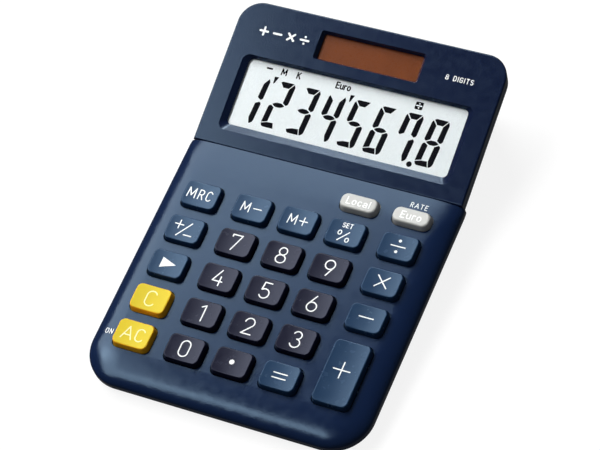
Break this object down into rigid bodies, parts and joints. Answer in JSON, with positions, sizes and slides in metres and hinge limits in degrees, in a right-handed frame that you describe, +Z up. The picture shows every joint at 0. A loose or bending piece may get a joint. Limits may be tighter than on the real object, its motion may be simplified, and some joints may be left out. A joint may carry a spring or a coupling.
{
  "type": "desk calculator",
  "caption": "Wedge-shaped desk calculator with a tilted display panel, solar cell and sprung keys for digits, arithmetic, memory and currency conversion.",
  "frame": {"origin": "on the table under the middle of the case's bounding box", "axes": "+X to the right, +Y to the back (display end), +Z up from the table"},
  "size_m": [0.103, 0.1478, 0.0289],
  "materials": {
    "case_blue": "fine satin moulded plastic",
    "panel_navy": "fine spark-eroded texture",
    "case_dark": "fine satin moulded plastic",
    "key_charcoal": "satin moulded key",
    "key_blue": "satin moulded key",
    "key_yellow": "satin moulded key",
    "key_grey": "satin moulded key",
    "clear_window": "clear acrylic sheet",
    "polariser": "thin polarising film",
    "lcd_glass": "display glass",
    "reflector_film": "pale reflecting film",
    "holder_plastic": "black moulded frame",
    "ribbon_film": "printed flexible film",
    "solar_brown": "amorphous silicon on glass",
    "foam_black": "adhesive foam",
    "wire_red": "insulated hook-up wire",
    "mat_rubber": "moulded silicone",
    "pill_carbon": "carbon-loaded silicone",
    "board_laminate": "phenolic laminate with carbon print",
    "epoxy_black": "potting epoxy",
    "chip_tan": "ceramic chip",
    "diode_red": "tinted epoxy",
    "screw_steel": "zinc-plated steel",
    "cell_steel": "nickel-plated cell",
    "contact_metal": "nickel-plated spring strip",
    "foot_rubber": "soft rubber pad"
  },
  "bodies": {
    "case": {"battery_cell": "cell_steel", "battery_contact_negative": "contact_metal", "battery_contact_positive": "contact_metal", "battery_door": "case_dark", "battery_door_screw": "screw_steel", "battery_leads": "wire_red", "board_capacitors": "chip_tan", "board_resistors": "epoxy_black", "board_screws": "screw_steel", "clamp_diode": "diode_red", "contact_pills": "pill_carbon", "controller_blob": "epoxy_black", "display_bezel": "panel_navy", "front_case_screws": "screw_steel", "key_mat": "mat_rubber", "lcd_front_glass": "lcd_glass", "lcd_front_polariser": "polariser", "lcd_holder": "holder_plastic", "lcd_holder_screws": "screw_steel", "lcd_rear_glass": "lcd_glass", "lcd_reflector": "reflector_film", "lcd_ribbon": "ribbon_film", "lcd_window": "clear_window", "lower_case": "case_dark", "main_board": "board_laminate", "rear_case_screws": "screw_steel", "rubber_feet": "foot_rubber", "solar_cell": "solar_brown", "solar_foam_pad": "foam_black", "solar_leads": "wire_red", "solar_window": "clear_window", "upper_case": "case_blue"},
    "key_0_body": {"key_0": "key_charcoal"},
    "key_1_body": {"key_1": "key_charcoal"},
    "key_2_body": {"key_2": "key_charcoal"},
    "key_3_body": {"key_3": "key_charcoal"},
    "key_4_body": {"key_4": "key_charcoal"},
    "key_5_body": {"key_5": "key_charcoal"},
    "key_6_body": {"key_6": "key_charcoal"},
    "key_7_body": {"key_7": "key_charcoal"},
    "key_8_body": {"key_8": "key_charcoal"},
    "key_9_body": {"key_9": "key_charcoal"},
    "key_all_clear_body": {"key_all_clear": "key_yellow"},
    "key_backspace_body": {"key_backspace": "key_blue"},
    "key_clear_body": {"key_clear": "key_yellow"},
    "key_divide_body": {"key_divide": "key_blue"},
    "key_equals_body": {"key_equals": "key_blue"},
    "key_euro_body": {"key_euro": "key_grey"},
    "key_local_body": {"key_local": "key_grey"},
    "key_m_minus_body": {"key_m_minus": "key_blue"},
    "key_m_plus_body": {"key_m_plus": "key_blue"},
    "key_minus_body": {"key_minus": "key_blue"},
    "key_mrc_body": {"key_mrc": "key_blue"},
    "key_multiply_body": {"key_multiply": "key_blue"},
    "key_percent_body": {"key_percent": "key_blue"},
    "key_plus_body": {"key_plus": "key_blue"},
    "key_point_body": {"key_point": "key_charcoal"},
    "key_sign_body": {"key_sign": "key_blue"}
  },
  "joints": [
    {"name": "press_0", "type": "slide", "parent": "case", "child": "key_0_body", "axis": [0, -0.0698, 0.9976], "range_m": [-0.0012, 0], "stiffness_N_per_m": 150, "springref_m": 0.001, "deforming": ["key_mat", "contact_pills"]},
    {"name": "press_1", "type": "slide", "parent": "case", "child": "key_1_body", "axis": [0, -0.0698, 0.9976], "range_m": [-0.0012, 0], "stiffness_N_per_m": 150, "springref_m": 0.001, "deforming": ["key_mat", "contact_pills"]},
    {"name": "press_2", "type": "slide", "parent": "case", "child": "key_2_body", "axis": [0, -0.0698, 0.9976], "range_m": [-0.0012, 0], "stiffness_N_per_m": 150, "springref_m": 0.001, "deforming": ["key_mat", "contact_pills"]},
    {"name": "press_3", "type": "slide", "parent": "case", "child": "key_3_body", "axis": [0, -0.0698, 0.9976], "range_m": [-0.0012, 0], "stiffness_N_per_m": 150, "springref_m": 0.001, "deforming": ["key_mat", "contact_pills"]},
    {"name": "press_4", "type": "slide", "parent": "case", "child": "key_4_body", "axis": [0, -0.0698, 0.9976], "range_m": [-0.0012, 0], "stiffness_N_per_m": 150, "springref_m": 0.001, "deforming": ["key_mat", "contact_pills"]},
    {"name": "press_5", "type": "slide", "parent": "case", "child": "key_5_body", "axis": [0, -0.0698, 0.9976], "range_m": [-0.0012, 0], "stiffness_N_per_m": 150, "springref_m": 0.001, "deforming": ["key_mat", "contact_pills"]},
    {"name": "press_6", "type": "slide", "parent": "case", "child": "key_6_body", "axis": [0, -0.0698, 0.9976], "range_m": [-0.0012, 0], "stiffness_N_per_m": 150, "springref_m": 0.001, "deforming": ["key_mat", "contact_pills"]},
    {"name": "press_7", "type": "slide", "parent": "case", "child": "key_7_body", "axis": [0, -0.0698, 0.9976], "range_m": [-0.0012, 0], "stiffness_N_per_m": 150, "springref_m": 0.001, "deforming": ["key_mat", "contact_pills"]},
    {"name": "press_8", "type": "slide", "parent": "case", "child": "key_8_body", "axis": [0, -0.0698, 0.9976], "range_m": [-0.0012, 0], "stiffness_N_per_m": 150, "springref_m": 0.001, "deforming": ["key_mat", "contact_pills"]},
    {"name": "press_9", "type": "slide", "parent": "case", "child": "key_9_body", "axis": [0, -0.0698, 0.9976], "range_m": [-0.0012, 0], "stiffness_N_per_m": 150, "springref_m": 0.001, "deforming": ["key_mat", "contact_pills"]},
    {"name": "press_all_clear", "type": "slide", "parent": "case", "child": "key_all_clear_body", "axis": [0, -0.0698, 0.9976], "range_m": [-0.0012, 0], "stiffness_N_per_m": 150, "springref_m": 0.001, "deforming": ["key_mat", "contact_pills"]},
    {"name": "press_backspace", "type": "slide", "parent": "case", "child": "key_backspace_body", "axis": [0, -0.0698, 0.9976], "range_m": [-0.0012, 0], "stiffness_N_per_m": 150, "springref_m": 0.001, "deforming": ["key_mat", "contact_pills"]},
    {"name": "press_clear", "type": "slide", "parent": "case", "child": "key_clear_body", "axis": [0, -0.0698, 0.9976], "range_m": [-0.0012, 0], "stiffness_N_per_m": 150, "springref_m": 0.001, "deforming": ["key_mat", "contact_pills"]},
    {"name": "press_divide", "type": "slide", "parent": "case", "child": "key_divide_body", "axis": [0, -0.0698, 0.9976], "range_m": [-0.0012, 0], "stiffness_N_per_m": 150, "springref_m": 0.001, "deforming": ["key_mat", "contact_pills"]},
    {"name": "press_equals", "type": "slide", "parent": "case", "child": "key_equals_body", "axis": [0, -0.0698, 0.9976], "range_m": [-0.0012, 0], "stiffness_N_per_m": 150, "springref_m": 0.001, "deforming": ["key_mat", "contact_pills"]},
    {"name": "press_euro", "type": "slide", "parent": "case", "child": "key_euro_body", "axis": [0, -0.0698, 0.9976], "range_m": [-0.0012, 0], "stiffness_N_per_m": 150, "springref_m": 0.001, "deforming": ["key_mat", "contact_pills"]},
    {"name": "press_local", "type": "slide", "parent": "case", "child": "key_local_body", "axis": [0, -0.0698, 0.9976], "range_m": [-0.0012, 0], "stiffness_N_per_m": 150, "springref_m": 0.001, "deforming": ["key_mat", "contact_pills"]},
    {"name": "press_m_minus", "type": "slide", "parent": "case", "child": "key_m_minus_body", "axis": [0, -0.0698, 0.9976], "range_m": [-0.0012, 0], "stiffness_N_per_m": 150, "springref_m": 0.001, "deforming": ["key_mat", "contact_pills"]},
    {"name": "press_m_plus", "type": "slide", "parent": "case", "child": "key_m_plus_body", "axis": [0, -0.0698, 0.9976], "range_m": [-0.0012, 0], "stiffness_N_per_m": 150, "springref_m": 0.001, "deforming": ["key_mat", "contact_pills"]},
    {"name": "press_minus", "type": "slide", "parent": "case", "child": "key_minus_body", "axis": [0, -0.0698, 0.9976], "range_m": [-0.0012, 0], "stiffness_N_per_m": 150, "springref_m": 0.001, "deforming": ["key_mat", "contact_pills"]},
    {"name": "press_mrc", "type": "slide", "parent": "case", "child": "key_mrc_body", "axis": [0, -0.0698, 0.9976], "range_m": [-0.0012, 0], "stiffness_N_per_m": 150, "springref_m": 0.001, "deforming": ["key_mat", "contact_pills"]},
    {"name": "press_multiply", "type": "slide", "parent": "case", "child": "key_multiply_body", "axis": [0, -0.0698, 0.9976], "range_m": [-0.0012, 0], "stiffness_N_per_m": 150, "springref_m": 0.001, "deforming": ["key_mat", "contact_pills"]},
    {"name": "press_percent", "type": "slide", "parent": "case", "child": "key_percent_body", "axis": [0, -0.0698, 0.9976], "range_m": [-0.0012, 0], "stiffness_N_per_m": 150, "springref_m": 0.001, "deforming": ["key_mat", "contact_pills"]},
    {"name": "press_plus", "type": "slide", "parent": "case", "child": "key_plus_body", "axis": [0, -0.0698, 0.9976], "range_m": [-0.0012, 0], "stiffness_N_per_m": 150, "springref_m": 0.001, "deforming": ["key_mat", "contact_pills"]},
    {"name": "press_point", "type": "slide", "parent": "case", "child": "key_point_body", "axis": [0, -0.0698, 0.9976], "range_m": [-0.0012, 0], "stiffness_N_per_m": 150, "springref_m": 0.001, "deforming": ["key_mat", "contact_pills"]},
    {"name": "press_sign", "type": "slide", "parent": "case", "child": "key_sign_body", "axis": [0, -0.0698, 0.9976], "range_m": [-0.0012, 0], "stiffness_N_per_m": 150, "springref_m": 0.001, "deforming": ["key_mat", "contact_pills"]}
  ]
}
